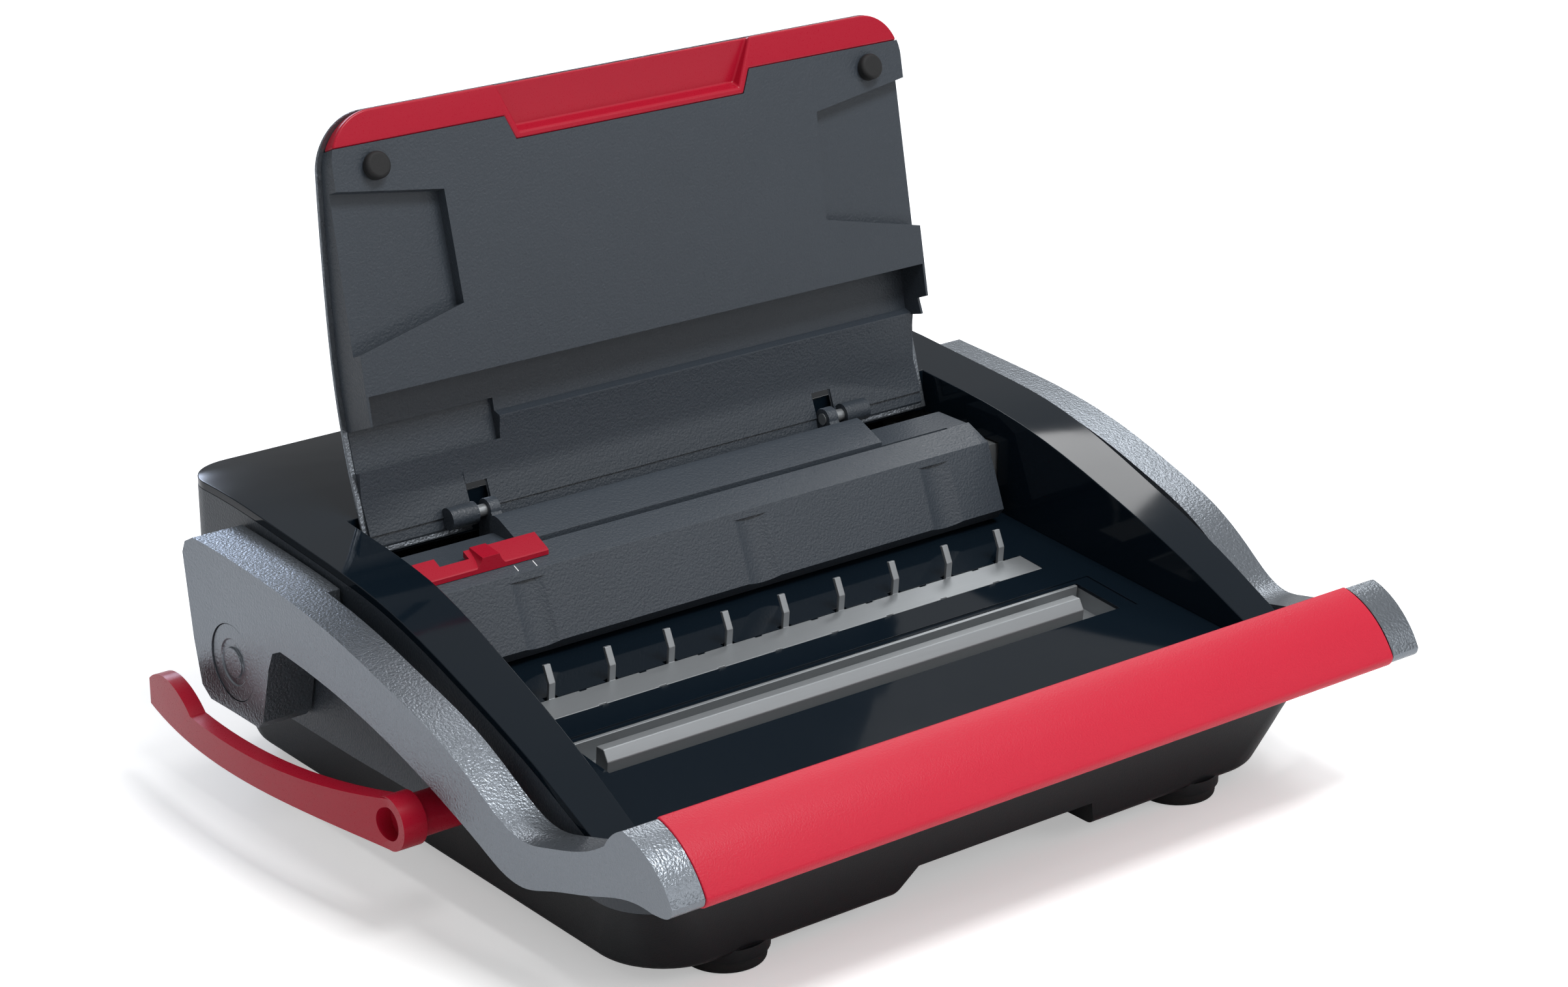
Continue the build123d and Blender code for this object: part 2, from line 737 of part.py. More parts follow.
def grip():
    """The red soft grip between the fists, with a bore for its steel tube."""
    front = Spline((-170.5, 102.0), (-181, 98.8), (-191, 92.8), (-199, 84.8), (-204, 77.5))
    nose = Spline((-204, 77.5), (-202.5, 73.2), (-197, 70.8), (-191, 70.4))
    low = Line((-191, 70.4), (-174, 70.6))
    back = Spline((-174, 70.6), (-167.5, 80), (-166.5, 94), (-170.5, 102.0))
    face = Plane.YZ * make_face([*front.edges(), *nose.edges(), low, *back.edges()])
    half = fist_inner - grip_wall_gap
    bar = Pos(-half, 0, 0) * extrude(face, 2 * half)
    return bar - rod_x(tube_y, tube_z, tube_r, -300, 300)


def grip_tube():
    half = fist_inner + tube_seat
    tube = rod_x(tube_y, tube_z, tube_r, -half, half)
    return tube - rod_x(tube_y, tube_z, tube_r - tube_wall, -half - 1, half + 1)


def cover_section(x0, x1, inset, notch):
    """The punch cover's outline from x0 to x1, drawn in by inset; notch lowers its back."""
    n = inset
    pts = [(cover_low[0] + n, cover_low[1] - (8 if n else 0)), (cover_nose[0] + n * 1.15, cover_nose[1])]
    pts += [(cover_crease[0] + n * 0.8, cover_crease[1] - n * 1.1)]
    slope = (cover_back[1] - cover_crease[1]) / (cover_back[0] - cover_crease[0])
    if notch:
        edge = cover_crease[1] + slope * (ledge_y - cover_crease[0])
        pts += [(ledge_y - n, edge - n * 1.4), (ledge_y - n, ledge_z - n), (cover_back[0] - n, ledge_z - n)]
    elif n:
        pts += [(cover_round[0][0], cover_round[0][1] - n * 1.3), (cover_back[0] - n, cover_round[0][1] - n * 1.3)]
    else:
        pts += [*cover_round, (cover_round[-1][0], cover_foot_z), (cover_back[0] - cover_t, cover_foot_z)]
    pts += [(cover_back[0] - n, cover_foot_z - (20 if n else 0))]
    pts += [(cover_low[0] + 12 + n, cover_low[1] - (8 if n else 0))]
    return along_x(pts, x0, x1)


def punch_cover():
    """Textured cover over the die: sloping top with the paper slot, scalloped front."""
    cover = cover_section(-ear_x, ear_x, 0, False)
    cover += cover_section(-cover_half, -ear_x, 0, True)
    cover += cover_section(ear_x, cover_half, 0, True)
    for x in scallop_x:
        axis_y = cover_nose[0] - scallop_r + scallop_deep
        tilt = math.degrees(math.atan2(cover_crease[0] - cover_nose[0], cover_crease[1] - cover_nose[1]))
        tool = Rot(-tilt, 0, 0) * Cylinder(scallop_r, 60)
        cover -= Pos(x, axis_y + 3.2, cover_nose[1] + 12) * tool
    hollow = cover_section(-ear_x + cover_t, ear_x - cover_t, cover_t, False)
    hollow += cover_section(-cover_half + cover_t, -ear_x + cover_t, cover_t, True)
    hollow += cover_section(ear_x - cover_t, cover_half - cover_t, cover_t, True)
    cover -= hollow
    for side in (-1, 1):
        x0, x1 = sorted((side * (bracket_x - 0.7), side * (bracket_x + bracket_t + 0.7)))
        cover -= block(x0, x1, cover_back[0] - cover_t - 1, cover_round[-1][0] + 1, cover_foot_z - 1,
                       bracket_pass_z + 0.5)
    cover -= block(-300, 300, gap_front - die_t - 0.2, gap_rear + guide_t + 0.2, 0, die_high + 0.2)
    cover -= block(-300, 300, cover_low[0] + 13, 200, 0, cover_foot_z)
    cover -= block(slot_left, slot_right, gap_front, gap_rear, 100, 160)
    return cover


def top_slope():
    return math.degrees(math.atan2(cover_back[1] - cover_crease[1], cover_back[0] - cover_crease[0]))


def edge_guide():
    """Red slide on the punch cover, with a ridge for the finger and a tongue in the slot."""
    rise = math.tan(math.radians(top_slope()))
    z0 = cover_crease[1] + rise * (guide_y0 - cover_crease[0]) + guide_play
    z1 = cover_crease[1] + rise * (guide_y1 - cover_crease[0]) + guide_play
    pts = [(guide_y0, z0), (guide_y0, z0 + guide_thick - 0.8), (guide_y0 + 0.8, z0 + guide_thick)]
    pts += [(guide_y1, z1 + guide_thick), (guide_y1, z1)]
    slide = along_x(pts, guide_left, guide_right)
    ridge_pts = [(guide_y0, z0 + 1), (guide_y0, z0 + guide_thick + guide_ridge_h)]
    ridge_pts += [(guide_y1, z1 + guide_thick + 1), (guide_y1, z1 + 1)]
    ridge = along_x(ridge_pts, guide_ridge_x - 10, guide_ridge_x + 10)
    for side in (-1, 1):
        x = guide_ridge_x + side * 13.5
        ridge -= Pos(x, guide_y0 + 6, z0 + guide_thick + 6.2) * Rot(90, 0, 0) * Cylinder(9, 40)
    slide += ridge
    slide -= block(-157, guide_ridge_x - 8, gap_front - 2.5, guide_y1 + 3, z0, z1 + 20)
    tongue_y0 = gap_front + guide_play
    tongue_y1 = gap_rear - guide_play
    slide += block(guide_left + 1, guide_left + 7, tongue_y0, tongue_y1, die_low + stop_h + 1, z1 + 1)
    return slide


LID = Pos(0, hinge_y, hinge_z) * Rot(-lid_open, 0, 0) * Pos(0, -hinge_y, -hinge_z)


def lid_point(t, d=0.0):
    """Closed lid: the point t along the inner face from the hinge and d above the face."""
    a = math.radians(face_angle)
    drop = face_drop - d
    y = hinge_y - t * math.cos(a) + drop * math.sin(a)
    return y, hinge_z - t * math.sin(a) - drop * math.cos(a)


def lid_section(points, x0, x1):
    """A straight-edged section given as (t, d) points of the closed lid."""
    return along_x([lid_point(t, d) for t, d in points], x0, x1)


def lid_plan(half, inset):
    """The closed lid's plan, with its two front corners rounded."""
    y0 = lid_point(lid_len)[0] + inset
    face = make_face(Polyline((-half, y0), (half, y0), (half, 140), (-half, 140), close=True))
    corners = [v for v in face.vertices() if v.Y < y0 + 1]
    return extrude(fillet(corners, lid_corner - inset), 200)


def under_shell(low, y_to):
    """The room under the outer shell, from the lid's front edge back to y_to."""
    y0 = lid_point(lid_len)[0]
    return under_arch(shell_t, low, -lid_half, lid_half, y0 - 5, y_to)


def lid_outer():
    """The silver outer shell, which lies flush with the cheeks when the lid is shut."""
    y0 = lid_point(lid_len)[0]
    shell = under_arch(0, 40, -lid_half, lid_half, y0 - 5, hinge_y + ear_tail)
    shell -= under_arch(shell_t, 30, -lid_half - 1, lid_half + 1, y0 - 9, hinge_y + ear_tail + 5)
    shell -= block(-ear_x - 0.5, ear_x + 0.5, hinge_y + lid_tail, 200, 0, 200)
    return LID * ((shell - bracket_windows()) & lid_plan(lid_half, 0))


def bracket_windows():
    """Cuts in the lid's tail that pass over the two hinge brackets."""
    x0 = bracket_x - 1.0
    slot = block(x0, ear_x + 0.5, hinge_y - lid_notch, 200, 0, 200)
    return slot + mirror(slot, Plane.YZ)


def lid_body():
    """The inner panel as drawn closed, before its pockets are cut."""
    top = [(lid_len + 5, 60), (lid_len + 5, 0)]
    pts = [*top, (recess_near, 0), (recess_near - 1, ridge_d), (zone_step, ridge_d + 1.6)]
    outline = [lid_point(t, d) for t, d in pts]
    outline += [(cover_round[0][0], zone_end[1]), zone_end, (zone_end[0], 200)]
    tool = along_x(outline, -panel_half, panel_half) & lid_plan(panel_half, panel_inset)
    body = tool & under_shell(40, zone_end[0])
    liner = under_shell(40, hinge_y + lid_tail) - under_arch(shell_t + liner_t, 30, -200, 200, -120, 200)
    liner &= block(-ear_x - 0.5, ear_x + 0.5, cover_round[0][0] - 8, 200, 0, 200)
    return (body + liner) - bracket_windows()


def ear_column(x0, x1):
    """The panel's lower corner, which reaches down past the hinge line."""
    pts = [(12.0, 40), (12.0, 17.4), (3.0, 16.5), (-5.0, 15.5), (-8.5, 17.5), (-9.0, 40)]
    return lid_section(pts, x0, x1) & under_shell(40, hinge_y + ear_tail)


def knuckle():
    """Right-hand hinge knuckle on the panel, bored for its pin."""
    x1 = ear_inner + knuckle_len
    body = rod_x(hinge_y, hinge_z, knuckle_r, ear_inner, x1)
    body += lid_section([(-4.0, face_drop), (4.0, face_drop), (4.0, 19.0), (-4.0, 19.0)], ear_inner, x1)
    return body & under_shell(40, hinge_y + ear_tail)


def side_pocket():
    """Right-hand pocket of the inner panel: an open-sided trapezoid cut into the face."""
    plan = [(172.0, 164.0), (110.0, 155.0), (108.0, 101.0), (172.0, 86.5)]
    prism = along_z([(x, lid_point(t)[0]) for x, t in plan], 40, 200)
    slab = lid_section([(60, -5), (190, -5), (190, pocket_d), (60, pocket_d)], 100, 170)
    return prism & slab


def lid_inner():
    body = lid_body()
    # The long recess over the punch cover's crease
    pts = [(recess_far, -5), (recess_far, 0), (recess_far - 1.5, recess_d), (recess_near + 2, recess_d)]
    body -= lid_section([*pts, (recess_near, ridge_d), (recess_near, -5)], -recess_half, recess_half)
    body -= lid_section([(recess_near + 1, 0), (recess_near - 4, 0), (recess_near - 4, ridge_d),
                         (recess_near + 1, ridge_d)], -recess_half, recess_half)
    for side in (-1, 1):
        x0, x1 = sorted((side * ear_inner, side * ear_out))
        body += ear_column(x0, x1)
    body += both(knuckle())
    for side in (-1, 1):
        body -= rod_x(hinge_y, hinge_z, hinge_pin_r, *sorted((side * (ear_x - 1), side * (ear_x + 14))))
    pocket = side_pocket()
    body -= pocket
    body -= mirror(pocket, Plane.YZ)
    # Small pocket over the edge guide's ridge, up to just under the shell
    near = lid_point(34)[0]
    far = lid_point(54)[0]
    pocket = block(-panel_half - 1, guide_pocket_right, far, near, 80, 180)
    body -= pocket & under_arch(shell_t + 0.5, 60, -200, 200, 0, 100)
    # Clearance in the side edges for the ends of the die block
    notch = block(recess_half - 0.5, panel_half + 1, gap_front - die_t - 1, gap_front + 1, 80, die_high + 2.5)
    body -= notch
    body -= mirror(notch, Plane.YZ)
    body -= trim_zone()
    return LID * body


def trim_zone():
    """The front band of the lid that the red trim takes, with a tongue round the recess."""
    y1 = lid_point(trim_t0)[0]
    y2 = lid_point(tongue_t0)[0]
    zone = block(-lid_half - 1, lid_half + 1, y1 - 60, y1, 20, 200)
    half = tongue_half + (grip_recess_far - grip_recess_half) * (trim_t0 - tongue_t0) / (lid_len - tongue_t0)
    return zone + along_z([(-half, y1), (half, y1), (tongue_half, y2), (-tongue_half, y2)], 20, 200)


def lid_front_trim():
    """Red band along the lid's front edge, with a wedge-shaped recess for the fingers."""
    trim = lid_body() & trim_zone()
    far = lid_len + 3
    pts = [(grip_recess_t0, -3), (grip_recess_t0 + 3, grip_recess_d), (far, grip_recess_d / 3), (far, -3)]
    wedge = lid_section(pts, -grip_recess_far - 5, grip_recess_far + 5)
    y0 = lid_point(far)[0]
    y1 = lid_point(grip_recess_t0)[0]
    plan = [(-grip_recess_far, y0), (grip_recess_far, y0), (grip_recess_half, y1), (-grip_recess_half, y1)]
    trim -= wedge & along_z(plan, 20, 200)
    return LID * trim


def lid_bumpers():
    y, z = lid_point(bumper_t)
    bumper = rod_z(bumper_x, y, bumper_r, z - bumper_h, z + bumper_h)
    bumper = chamfer(bumper.faces().sort_by(Axis.Z)[0].edges(), bumper_edge)
    return group([LID * s for s in both(bumper - lid_body()).solids()])


def lid_hinge_pins():
    pin = rod_x(hinge_y, hinge_z, hinge_pin_r, bracket_x - 0.5, ear_x + 14)
    return both(pin)


def lid_hinge_brackets():
    """Two posts on the pin guide that carry the lid's hinge pins."""
    x0 = bracket_x
    x1 = bracket_x + bracket_t
    r = bracket_r
    pts = [(gap_rear, die_high), (hinge_y + r, die_high), (hinge_y + r, hinge_z), (hinge_y - r, hinge_z)]
    pts += [(cover_round[-1][0] + 0.9, bracket_pass_z), (gap_rear, bracket_pass_z - 5)]
    post = along_x(pts, x0, x1) + rod_x(hinge_y, hinge_z, r, x0, x1)
    return both(post - rod_x(hinge_y, hinge_z, hinge_pin_r + run_gap, 0, 300))


def chip_tray():
    """Drawer for the punched chips, drawn out at the rear."""
    rear = base_rear + 4
    tray = block(-tray_half, tray_half, tray_front, rear, tray_low, tray_high)
    w = tray_wall
    tray -= block(-tray_half + w, tray_half - w, tray_front + w, rear - 2 * w, tray_low + w, tray_high + 5)
    tray -= rod_y(0, tray_high + 4, 16, rear - 30, rear + 5)
    return tray


def base_screws():
    """Six screws that hold the tub to the body from below."""
    screws = []
    for x in (-screw_x, 0, screw_x):
        for y in (-screw_y, screw_y):
            screws.append(rod_z(x, y, screw_head_r, base_z - 1.6, base_z))
    return group(screws)


def frame_bolts():
    """Bolts through the side frames into the ends of the die and the guide."""
    bolts = []
    for y in (gap_front - die_t / 2, gap_rear + guide_t / 2):
        for z in (die_low + 5, die_high - 5):
            bolts.append(rod_x(y, z, bolt_head_r, frame_x + frame_t, frame_x + frame_t + bolt_head_t))
    return both(group(bolts))


def save_all():
    save(base_tray(), "base_tray")
    save(feet(), "rubber_feet")
    save(body_housing(), "body_housing")
    save(top_cover(), "top_cover")
    save(deck_panel(), "deck_panel")
    save(hook_plate(), "hook_plate")
    save(closer_channel(), "closer_channel")
    save(closer_jaw(), "closer_jaw")
    save(closer_bar(), "closer_bar")
    save(closer_legs(), "closer_legs")
    save(closer_crankshaft(), "closer_crankshaft")
    save(closer_bushes(), "closer_bushes")
    save(closer_lever(), "closer_lever")
    frame = side_frame()
    save(frame, "right_side_frame")
    save(mirror(frame, Plane.YZ), "left_side_frame")
    save(die_block(), "die_block")
    save(pin_guide(), "pin_guide")
    save(depth_stop(), "depth_stop")
    save(punch_pins(), "punch_pins")
    save(punch_ram(), "punch_ram")
    save(cross_shaft(), "cross_shaft")
    save(crank_discs(), "crank_discs")
    save(shaft_bushes(), "shaft_bushes")
    right = arm()
    save(right, "right_arm")
    save(mirror(right, Plane.YZ), "left_arm")
    save(pivot_caps(), "pivot_caps")
    save(grip(), "grip")
    save(grip_tube(), "grip_tube")
    save(punch_cover(), "punch_cover")
    save(edge_guide(), "edge_guide")
    save(lid_outer(), "lid_outer_shell")
    save(lid_inner(), "lid_inner_panel")
    save(lid_front_trim(), "lid_front_trim")
    save(lid_bumpers(), "lid_bumpers")
    save(lid_hinge_pins(), "lid_hinge_pins")
    save(lid_hinge_brackets(), "lid_hinge_brackets")
    save(chip_tray(), "chip_tray")
    save(base_screws(), "base_screws")
    save(frame_bolts(), "frame_bolts")


save_all()
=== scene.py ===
"""The looks of a desk machine for wire binding, built around its solids, in metres."""

import math

import bmesh
import bpy
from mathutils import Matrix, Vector


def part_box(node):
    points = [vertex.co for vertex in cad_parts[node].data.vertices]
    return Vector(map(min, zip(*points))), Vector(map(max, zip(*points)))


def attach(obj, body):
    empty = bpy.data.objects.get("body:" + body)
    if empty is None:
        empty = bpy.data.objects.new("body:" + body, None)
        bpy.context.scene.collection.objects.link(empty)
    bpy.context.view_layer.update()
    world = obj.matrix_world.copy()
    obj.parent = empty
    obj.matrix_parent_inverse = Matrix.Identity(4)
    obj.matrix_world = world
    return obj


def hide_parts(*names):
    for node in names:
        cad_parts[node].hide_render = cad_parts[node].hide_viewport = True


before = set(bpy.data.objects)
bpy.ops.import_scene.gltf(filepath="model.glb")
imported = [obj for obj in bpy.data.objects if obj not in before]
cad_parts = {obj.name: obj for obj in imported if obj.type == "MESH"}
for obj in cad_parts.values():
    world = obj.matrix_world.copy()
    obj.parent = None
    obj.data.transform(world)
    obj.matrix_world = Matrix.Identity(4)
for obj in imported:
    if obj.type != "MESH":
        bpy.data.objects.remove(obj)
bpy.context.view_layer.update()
mm = 0.001
middle_x = (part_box("die_block")[0].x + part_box("die_block")[1].x) / 2

# Camera
# A long lens, high on the left, looking down at the front of the machine.
photo_width = 2408
photo_height = 1515
lens_px = 5711.6
camera_turn = -37.97
camera_down = 21.01
camera_roll = 0.056
camera_place = Vector((middle_x - 1.0067, -1.2851, 0.7684))
view_centre_px = (1195.5, 768.2)

camera = bpy.data.cameras.new("camera")
camera.sensor_width = 36
camera.lens = lens_px / photo_width * camera.sensor_width
camera.shift_x = (photo_width / 2 - view_centre_px[0]) / photo_width
camera.shift_y = (view_centre_px[1] - photo_height / 2) / photo_width
camera.clip_end = 20
viewer = bpy.data.objects.new("camera", camera)
viewer.location = camera_place
viewer.rotation_euler = (
    math.radians(90 - camera_down),
    math.radians(camera_roll),
    math.radians(camera_turn),
)
bpy.context.scene.collection.objects.link(viewer)
bpy.context.scene.camera = viewer
bpy.context.scene.view_settings.view_transform = "Standard"


# Studio
# A pale floor in a white room that is brighter overhead, with one main lamp above and three weaker ones.
# The camera sees the room and the open floor as white, and the floor keeps its soft shadow.
class Signal:
    """One output of a shader node, so that plain arithmetic adds its Math nodes."""

    def __init__(self, finish, socket):
        self.finish = finish
        self.socket = socket

    def maths(self, operation, first, second):
        return self.finish.node("ShaderNodeMath", {"operation": operation}, {0: first, 1: second})

    def __add__(self, other):
        return self.maths("ADD", self, other)

    __radd__ = __add__

    def __sub__(self, other):
        return self.maths("SUBTRACT", self, other)

    def __rsub__(self, other):
        return self.maths("SUBTRACT", other, self)

    def __mul__(self, other):
        return self.maths("MULTIPLY", self, other)

    __rmul__ = __mul__


class Finish:
    """One material: its shader, and the nodes that change it over the surface."""

    def __init__(self, name, sockets, tree=None):
        self.material = None
        if tree is None:
            self.material = bpy.data.materials.new(name)
            self.material.use_nodes = True
            tree = self.material.node_tree
        self.tree = tree
        self.shader = tree.nodes.get("Principled BSDF") or tree.nodes["Background"]
        self.set(sockets)

    def feed(self, socket, value):
        if isinstance(value, Signal):
            self.tree.links.new(value.socket, socket)
        else:
            socket.default_value = value

    def set(self, sockets):
        for name, value in sockets.items():
            self.feed(self.shader.inputs[name], value)

    def node(self, kind, settings=None, sockets=None, output=0):
        made = self.tree.nodes.new(kind)
        for name, value in (settings or {}).items():
            setattr(made, name, value)
        for name, value in (sockets or {}).items():
            self.feed(made.inputs[name], value)
        return Signal(self, made.outputs[output])

    def place(self, stretch=(1, 1, 1)):
        """The point on the piece, in metres, stretched along the axes."""
        point = self.node("ShaderNodeTexCoord", output="Object")
        return self.node("ShaderNodeVectorMath", {"operation": "MULTIPLY"}, {0: point, 1: stretch})

    def cloud(self, size, detail=2.0, stretch=(1, 1, 1)):
        """Soft noise whose lumps are about size metres across."""
        return self.node(
            "ShaderNodeTexNoise",
            None,
            {"Vector": self.place(stretch), "Scale": 1 / size, "Detail": detail},
        )

    def blend(self, mask, first, second):
        return self.node(
            "ShaderNodeMix", {"data_type": "RGBA"}, {0: mask, 6: first, 7: second}, output=2
        )

    def bump(self, height, depth):
        return self.node("ShaderNodeBump", None, {"Height": height, "Distance": depth})


def tint(code):
    """The shader colour of a six-digit screen colour."""
    parts = [int(code[i : i + 2], 16) / 255 for i in (0, 2, 4)]
    linear = [p / 12.92 if p <= 0.04045 else ((p + 0.055) / 1.055) ** 2.4 for p in parts]
    return (*linear, 1.0)


world = bpy.data.worlds.new("room")
world.use_nodes = True
bpy.context.scene.world = world
room_low = 0.2
room_rise = 0.42
room = Finish("room", {}, world.node_tree)
camera_ray = room.node("ShaderNodeLightPath", output="Is Camera Ray")
direction = room.node("ShaderNodeTexCoord", output="Generated")
up = room.node("ShaderNodeSeparateXYZ", None, {"Vector": direction}, "Z")
sky = up.maths("MAXIMUM", up, 0.0) * room_rise + room_low
room.set({"Color": tint("FFFFFF"), "Strength": camera_ray * (1 - sky) + sky})

floor_mesh = bpy.data.meshes.new("floor")
floor_reach = 6.0
corners = [(-1, -1), (1, -1), (1, 1), (-1, 1)]
floor_mesh.from_pydata([(x * floor_reach, y * floor_reach, 0) for x, y in corners], [], [(0, 1, 2, 3)])
floor = bpy.data.objects.new("floor", floor_mesh)
bpy.context.scene.collection.objects.link(floor)
floor_finish = Finish("floor", {"Base Color": tint("F4F4F4"), "Roughness": 1.0})
floor_finish.set({"Specular IOR Level": 0.0, "Emission Strength": 1})
lift = floor_finish.node("ShaderNodeLightPath", output="Is Camera Ray")
floor_finish.set({"Emission Color": floor_finish.blend(lift, tint("000000"), tint("A8A8A8"))})
floor_mesh.materials.append(floor_finish.material)


def lamp(name, place, size, watts, colour=(1, 1, 1)):
    """A soft rectangular lamp aimed at the middle of the machine."""
    aim = Vector((0, 0, 0.12))
    data = bpy.data.lights.new(name, "AREA")
    data.shape = "RECTANGLE"
    data.size, data.size_y = size
    data.energy = watts
    data.color = colour
    thing = bpy.data.objects.new(name, data)
    thing.location = place
    thing.rotation_euler = (aim - Vector(place)).to_track_quat("-Z", "Y").to_euler()
    bpy.context.scene.collection.objects.link(thing)


lamp("key_lamp", place=(0.1, -0.7, 1.6), size=(0.8, 0.4), watts=20)
lamp("front_lamp", place=(0.9, -1.6, 1.0), size=(1.2, 0.7), watts=5)
lamp("side_lamp", place=(1.1, 0.8, 1.35), size=(0.8, 0.4), watts=7)
lamp("back_lamp", place=(0.25, 1.7, 0.8), size=(0.7, 0.35), watts=8, colour=(0.7, 0.8, 1.0))


# Lower casing
# A tub of near-black plastic that flares upwards, with a finger cut-out in its front edge.
# Moulded in one piece with a fine spark-eroded texture; six screws from below hold it.
patch_size = 50 * mm
gloss_spread = 0.18


def moulded(name, colour, roughness, grain, depth, shade=0.12):
    """A moulded plastic with a fine even texture and a slight change of tone."""
    finish = Finish(name, {"Roughness": roughness})
    patch = finish.cloud(patch_size, detail=3.0)
    dark = tuple(c * (1 - shade) for c in colour[:3]) + (1,)
    fine = finish.cloud(grain, detail=2.0)
    finish.set(
        {
            "Base Color": finish.blend(patch, dark, colour),
            "Roughness": roughness + (fine - 0.5) * gloss_spread,
            "Normal": finish.bump(fine, depth),
        }
    )
    return finish


dark_plastic = moulded("dark_plastic", tint("0F1216"), roughness=0.42, grain=0.7 * mm, depth=0.06 * mm)
dark_plastic.set({"Specular IOR Level": 0.3})


def shown(name, mesh, finish, body):
    """A mesh as a piece of the machine, with its material and the body that it moves with."""
    piece = bpy.data.objects.new(name, mesh)
    bpy.context.scene.collection.objects.link(piece)
    piece.data.materials.clear()
    piece.data.materials.append(finish.material)
    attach(piece, body)
    return piece


weld_gap = 0.002 * mm
flat_turn = math.radians(0.6)
edge_turn = math.radians(25)
crease_turn = math.radians(40)


def softened(node, edge, finish, body, steps=2):
    """The solid's surface with its sharp edges rounded, as a moulding or casting has them."""
    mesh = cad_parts[node].data.copy()
    form = bmesh.new()
    form.from_mesh(mesh)
    bmesh.ops.remove_doubles(form, verts=form.verts, dist=weld_gap)
    bmesh.ops.dissolve_limit(form, angle_limit=flat_turn, verts=form.verts, edges=form.edges)
    sharp = [e for e in form.edges if e.is_manifold and e.calc_face_angle(0) > edge_turn]
    bmesh.ops.bevel(
        form, geom=sharp, offset=edge, segments=steps, profile=0.5, affect="EDGES", clamp_overlap=True
    )
    for face in form.faces:
        face.smooth = True
    form.to_mesh(mesh)
    form.free()
    mesh.name = node + "_surface"
    mesh.set_sharp_from_angle(angle=crease_turn)
    piece = shown(node + "_surface", mesh, finish, body)
    even = piece.modifiers.new("even_light", "WEIGHTED_NORMAL")
    even.keep_sharp = True
    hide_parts(node)


softened("base_tray", 0.8 * mm, dark_plastic, "chassis")

# Feet
# Four round pads that the machine rests on, of black rubber.
# Each is moulded with softened edges and pressed into a boss under the casing.
foot_rubber = moulded("foot_rubber", tint("101113"), roughness=0.75, grain=0.5 * mm, depth=0.05 * mm)
softened("rubber_feet", 0.8 * mm, foot_rubber, "chassis")

# Body sides and rear
# The matte slate wall between the tub and the glossy cover.
# Moulded in one piece of plastic with a fine texture, and screwed to the tub from below.
slate_plastic = moulded("slate_plastic", tint("333A42"), roughness=0.44, grain=1.2 * mm, depth=0.3 * mm)
softened("body_housing", 0.8 * mm, slate_plastic, "chassis")

# Top cover
# Two arched cheeks and the domed rear, in one blue-black moulding.
# Its tool was polished, so that the plastic is glossy with only a faint haze and waviness.
gloss_black = Finish(
    "gloss_black", {"Base Color": tint("0D161E"), "Specular IOR Level": 0.2, "Roughness": 0.07}
)
haze = gloss_black.cloud(size=35 * mm, detail=2.0)
gloss_least = 0.05
haze_rise = 0.06
gloss_black.set({"Roughness": gloss_least + haze * haze_rise})
waviness = gloss_black.cloud(size=30 * mm, detail=1.0)
gloss_black.set({"Normal": gloss_black.bump(waviness, depth=0.05 * mm)})
softened("top_cover", 1.2 * mm, gloss_black, "chassis")

# Deck
# The plate between the cheeks, with slots for the hooks and a long opening for the closer.
# Moulded in the same glossy plastic as the top cover.
softened("deck_panel", 0.5 * mm, gloss_black, "chassis")

# Hook strip
# A stamped strip with nine bent hooks, and in front of it the closer's pan, jaw and moving bar.
# All are of plain grey steel, faintly brushed along the machine's width.
grey_steel = Finish("grey_steel", {"Base Color": tint("8E9295"), "Metallic": 0.6})
streaks = grey_steel.cloud(size=0.4 * mm, detail=2.0, stretch=(0.02, 1, 1))
steel_least = 0.34
streak_rise = 0.16
grey_steel.set({"Roughness": steel_least + streaks * streak_rise})
grey_steel.set({"Normal": grey_steel.bump(streaks, depth=0.01 * mm)})
softened("hook_plate", 0.3 * mm, grey_steel, "chassis")
softened("closer_channel", 0.3 * mm, grey_steel, "chassis")
softened("closer_jaw", 0.3 * mm, grey_steel, "chassis")
softened("closer_bar", 0.5 * mm, grey_steel, "closer_slide")

# Punch cover
# The cover over the die, with the paper slot and three scallops for the thumbs.
# Moulded in slate plastic, a little lighter than the body, with a leathery grain.
cover_plastic = moulded("cover_plastic", tint("3B424A"), roughness=0.44, grain=1.2 * mm, depth=0.3 * mm)
softened("punch_cover", 2.2 * mm, cover_plastic, "chassis", steps=3)

# Size marks
# Two ticks in front of the edge guide, one for each paper size.
# Each is a thin layer of white ink, slightly uneven, printed on the cover's sloping top.
cover_crease = (44.8, 120.6)
cover_back = (83.5, 136.5)
cover_rise = (cover_back[1] - cover_crease[1]) / (cover_back[0] - cover_crease[0])
tick_places = (-121.0, -110.6)
tick_ends = (46.2, 49.8)
tick_half = 0.25
ink = 0.06


def run_along_x(outline, left, right):
    """A closed mesh: an outline of (y, z) points in millimetres, run between two x places."""
    ends = [[(middle_x + x * mm, y * mm, z * mm) for y, z in outline] for x in (left, right)]
    count = len(outline)
    sides = [(i, (i + 1) % count, (i + 1) % count + count, i + count) for i in range(count)]
    caps = [tuple(range(count))[::-1], tuple(range(count, 2 * count))]
    mesh = bpy.data.meshes.new("run")
    mesh.from_pydata(ends[0] + ends[1], [], sides + caps)
    return mesh


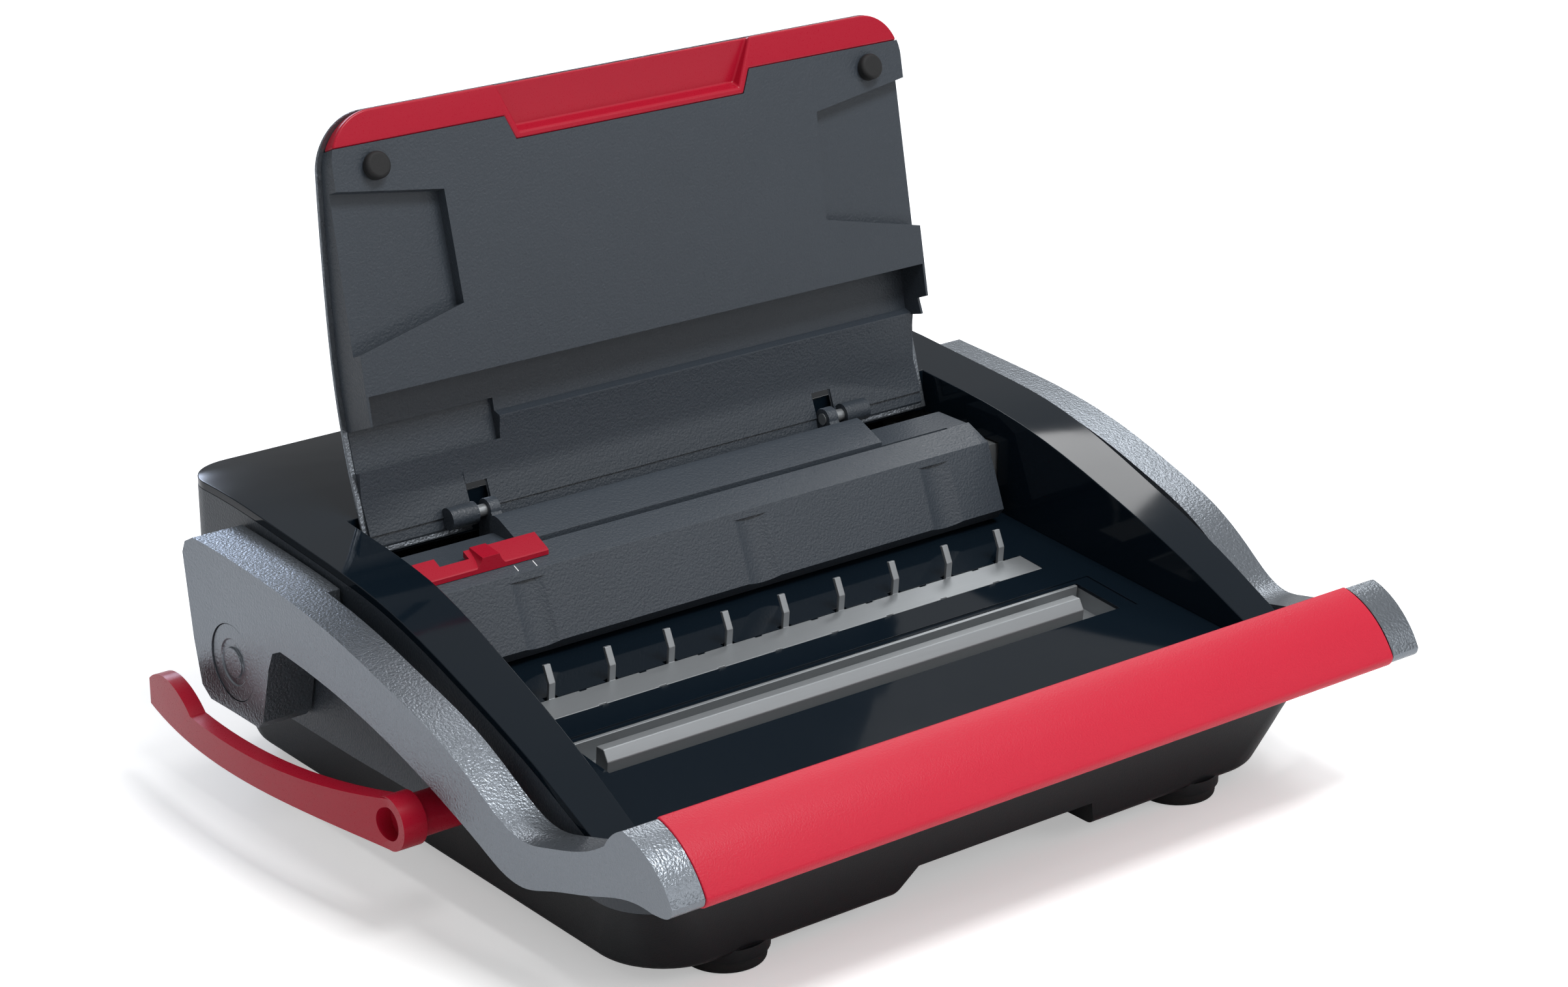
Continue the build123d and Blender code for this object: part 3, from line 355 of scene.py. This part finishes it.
white_print = Finish("white_print", {})
worn = white_print.cloud(size=0.6 * mm, detail=3.0)
print_least = 0.45
worn_rise = 0.2
white_print.set({"Roughness": print_least + worn * worn_rise})
white_print.set({"Base Color": white_print.blend(worn, tint("C8CACC"), tint("E2E4E6"))})
for number, tick_x in enumerate(tick_places):
    line = [(y, cover_crease[1] + cover_rise * (y - cover_crease[0])) for y in tick_ends]
    outline = line + [(y, z + ink) for y, z in reversed(line)]
    tick = run_along_x(outline, tick_x - tick_half, tick_x + tick_half)
    shown(f"size_mark_{number}", tick, white_print, "chassis")

# Edge guide
# A small slide behind the two marks, with a ridge for the finger and a tongue in the paper slot.
# Moulded in smooth red plastic.
red_plastic = moulded(
    "red_plastic", tint("A5122A"), roughness=0.3, grain=0.6 * mm, depth=0.015 * mm, shade=0.05
)
red_plastic.set({"Specular IOR Level": 0.3})
softened("edge_guide", 0.5 * mm, red_plastic, "edge_guide_body")

# Lid
# A slate inner panel with pockets, a silver outer shell and a red front trim with a grip recess.
# The parts are moulded and snapped together; two rubber bumpers are pressed into the panel.
silver_paint = moulded(
    "silver_paint", tint("7C8289"), roughness=0.31, grain=1.3 * mm, depth=0.3 * mm, shade=0.05
)
silver_paint.set({"Metallic": 0.85})
softened("lid_inner_panel", 2.4 * mm, slate_plastic, "lid", steps=3)
softened("lid_outer_shell", 0.8 * mm, silver_paint, "lid")
softened("lid_front_trim", 1.2 * mm, red_plastic, "lid")
softened("lid_bumpers", 0.6 * mm, foot_rubber, "lid")

# Handle
# Two cast arms with silver-grey texture paint, each with a round cap over its pivot.
# The red grip between their fists is moulded in soft plastic over a steel tube.
softened("left_arm", 1.8 * mm, silver_paint, "handle")
softened("right_arm", 1.8 * mm, silver_paint, "handle")
softened("pivot_caps", 0.4 * mm, silver_paint, "handle")
red_grip = moulded(
    "red_grip", tint("C01A34"), roughness=0.44, grain=0.8 * mm, depth=0.18 * mm, shade=0.05
)
red_grip.set({"Specular IOR Level": 0.3})
softened("grip", 0.8 * mm, red_grip, "handle")

# Closer lever
# The lever on the left end of the closer's shaft, which moves the bar.
# Moulded in red plastic, with a bowed handle and a hollow hub.
softened("closer_lever", 2.0 * mm, red_plastic, "closer_lever_body")

# Inner works
# The pieces inside the casings, hardly seen, which all get the plain grey steel.
# The lid's two hinge posts come up behind the punch cover and share its colour.
softened("lid_hinge_brackets", 0.5 * mm, cover_plastic, "chassis")
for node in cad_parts.values():
    if not node.hide_render:
        node.data.materials.clear()
        node.data.materials.append(grey_steel.material)
